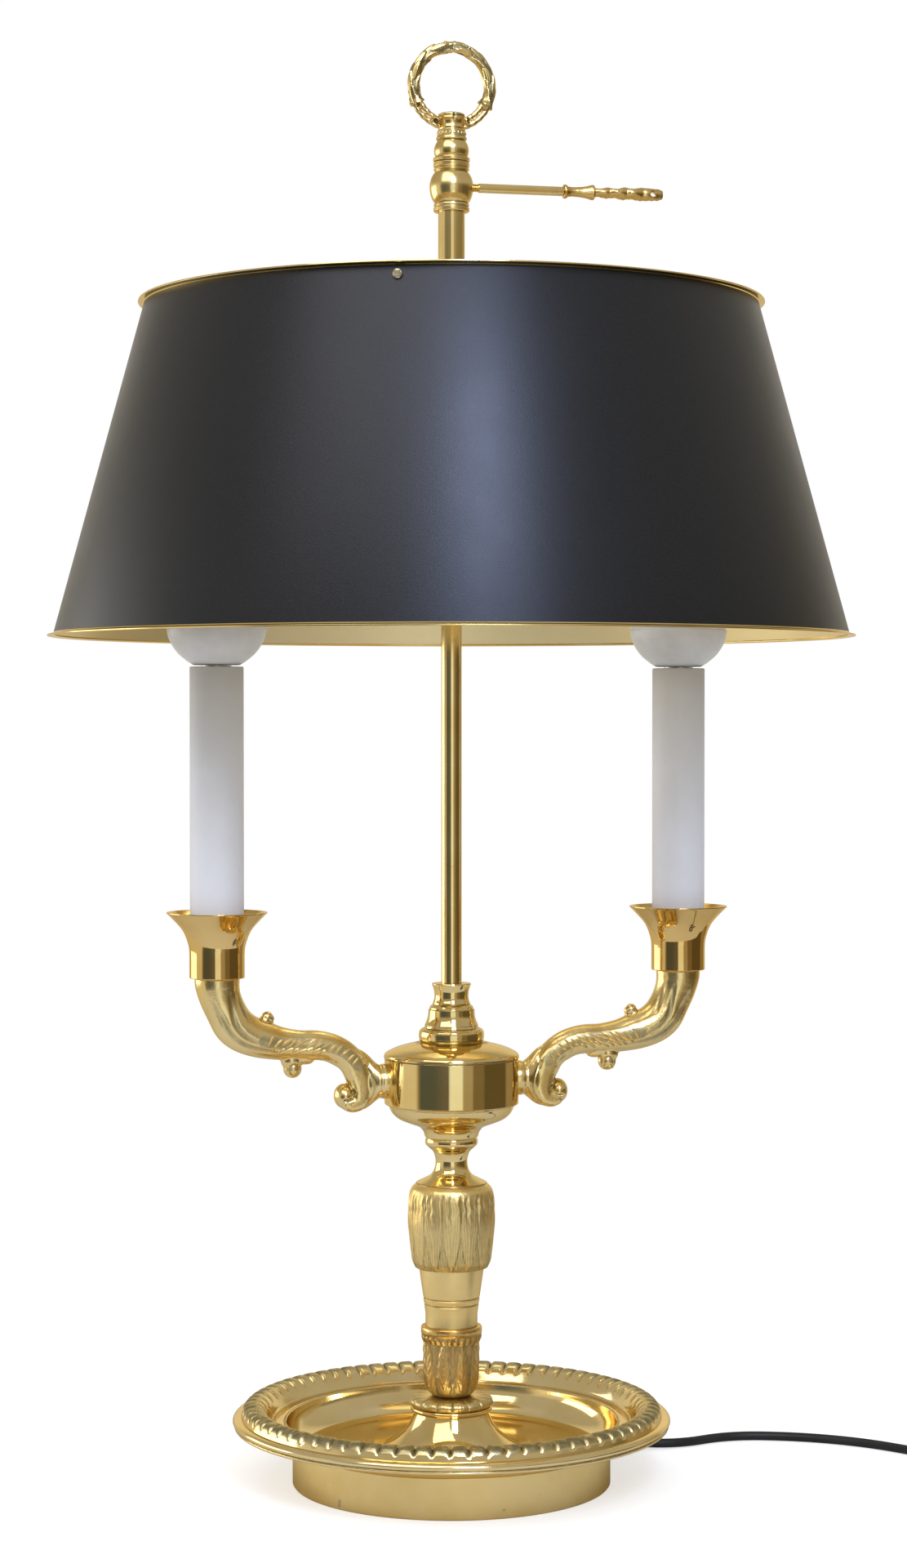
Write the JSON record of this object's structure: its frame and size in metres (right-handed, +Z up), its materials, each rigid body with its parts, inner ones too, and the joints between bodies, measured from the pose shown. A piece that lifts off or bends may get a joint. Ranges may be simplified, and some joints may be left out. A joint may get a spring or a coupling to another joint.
{
  "type": "bouillotte lamp",
  "caption": "Brass table lamp with a gadrooned dish base, scrolled arms with candle sleeves, and a black conical shade that slides on the rod under a wreath finial.",
  "frame": {"origin": "on the lamp's axis, on the surface it stands on", "axes": "+Z up along the rod; the arms and the clamping key lie along X, the key towards +X"},
  "size_m": [0.5326, 0.4244, 0.7062],
  "materials": {
    "polished_brass": "polished and lacquered",
    "satin_brass": "satin casting",
    "contact_brass": "bright pressed",
    "zinc_steel": "zinc plated",
    "ballast_iron": "black casting",
    "green_felt": "felt",
    "black_rubber": "moulded",
    "black_moulding": "moulded",
    "wire_cover": "extruded",
    "cord_cover": "extruded",
    "white_sleeve": "smooth",
    "white_housing": "moulded",
    "milk_glass": "coated inside",
    "cap_metal": "nickel plated",
    "black_lacquer": "satin lacquer outside, gold inside"
  },
  "bodies": {
    "lamp": {"base_dish": "polished_brass", "foot_ring": "satin_brass", "ballast_disc": "ballast_iron", "felt_pad": "green_felt", "cord_bushing": "black_rubber", "cord_grip": "black_moulding", "stem_tube": "zinc_steel", "stem_washer": "zinc_steel", "lock_nuts": "zinc_steel", "stem_foot": "polished_brass", "leaf_collar": "satin_brass", "lower_cup": "satin_brass", "stem_cone": "satin_brass", "leaf_bell": "satin_brass", "neck_baluster": "polished_brass", "hub_body": "polished_brass", "hub_lid": "polished_brass", "rod_socket": "polished_brass", "centre_rod": "polished_brass", "finial_neck": "polished_brass", "finial_ring": "satin_brass", "terminal_block": "black_moulding", "inner_cable": "wire_cover", "arm_wires": "wire_cover", "arm_left": "satin_brass", "arm_right": "satin_brass", "arm_nipples": "zinc_steel", "candle_cup_left": "polished_brass", "candle_cup_right": "polished_brass", "holder_stems": "zinc_steel", "lampholder_left": "black_moulding", "lampholder_right": "black_moulding", "holder_shells": "contact_brass", "holder_contacts": "contact_brass", "candle_sleeve_left": "white_sleeve", "candle_sleeve_right": "white_sleeve", "mains_cord": "cord_cover", "cord_lead": "cord_cover", "cord_coil": "cord_cover", "switch_base": "black_moulding", "switch_cover": "black_moulding", "switch_boots": "black_rubber", "switch_screws": "zinc_steel", "plug_body": "black_moulding", "plug_pins": "cap_metal"},
    "lift_tube": {"sleeve_tube": "polished_brass"},
    "shade_carrier": {"collar_ball": "polished_brass", "shade_spider": "polished_brass", "spider_screws": "satin_brass", "shade_panel": "black_lacquer", "shade_lips": "polished_brass"},
    "key_screw": {"key_shaft": "polished_brass"},
    "key_grip": {"key_handle": "satin_brass"},
    "bulb_rise_left": {"bulb_cap_left": "cap_metal"},
    "bulb_rise_right": {"bulb_cap_right": "cap_metal"},
    "bulb_left": {"bulb_housing_left": "white_housing", "bulb_tubes_left": "milk_glass"},
    "bulb_right": {"bulb_housing_right": "white_housing", "bulb_tubes_right": "milk_glass"},
    "rocker": {"switch_rocker": "black_moulding"}
  },
  "joints": [
    {"name": "shade_lift", "type": "slide", "parent": "lamp", "child": "lift_tube", "axis": [0, 0, 1], "range_m": [-0.05, 0]},
    {"name": "shade_turn", "type": "hinge", "parent": "lift_tube", "child": "shade_carrier", "pos_m": [0, 0, 0.634], "axis": [0, 0, 1], "continuous": true},
    {"name": "key_advance", "type": "slide", "parent": "shade_carrier", "child": "key_screw", "axis": [1, 0, 0], "range_m": [0, 0.0021]},
    {"name": "key_turn", "type": "hinge", "parent": "key_screw", "child": "key_grip", "pos_m": [0.06, 0, 0.6343], "axis": [1, 0, 0], "range_deg": [0, 1080]},
    {"name": "bulb_left_climb", "type": "slide", "parent": "lamp", "child": "bulb_rise_left", "axis": [0, 0, 1], "range_m": [0, 0.00846]},
    {"name": "bulb_left_turn", "type": "hinge", "parent": "bulb_rise_left", "child": "bulb_left", "pos_m": [-0.116, 0, 0.4], "axis": [0, 0, 1], "range_deg": [0, 1080]},
    {"name": "bulb_right_climb", "type": "slide", "parent": "lamp", "child": "bulb_rise_right", "axis": [0, 0, 1], "range_m": [0, 0.00846]},
    {"name": "bulb_right_turn", "type": "hinge", "parent": "bulb_rise_right", "child": "bulb_right", "pos_m": [0.116, 0, 0.4], "axis": [0, 0, 1], "range_deg": [0, 1080]},
    {"name": "rocker_tip", "type": "hinge", "parent": "lamp", "child": "rocker", "pos_m": [0.262, -0.115, 0.0115], "axis": [1, 0, 0], "range_deg": [-18, 0]}
  ],
  "couplings": [
    {"joint": "key_turn", "follows": "key_advance", "rad_per_m": 8976},
    {"joint": "bulb_left_climb", "follows": "bulb_left_turn", "m_per_rad": 0.00044882},
    {"joint": "bulb_right_climb", "follows": "bulb_right_turn", "m_per_rad": 0.00044882}
  ]
}
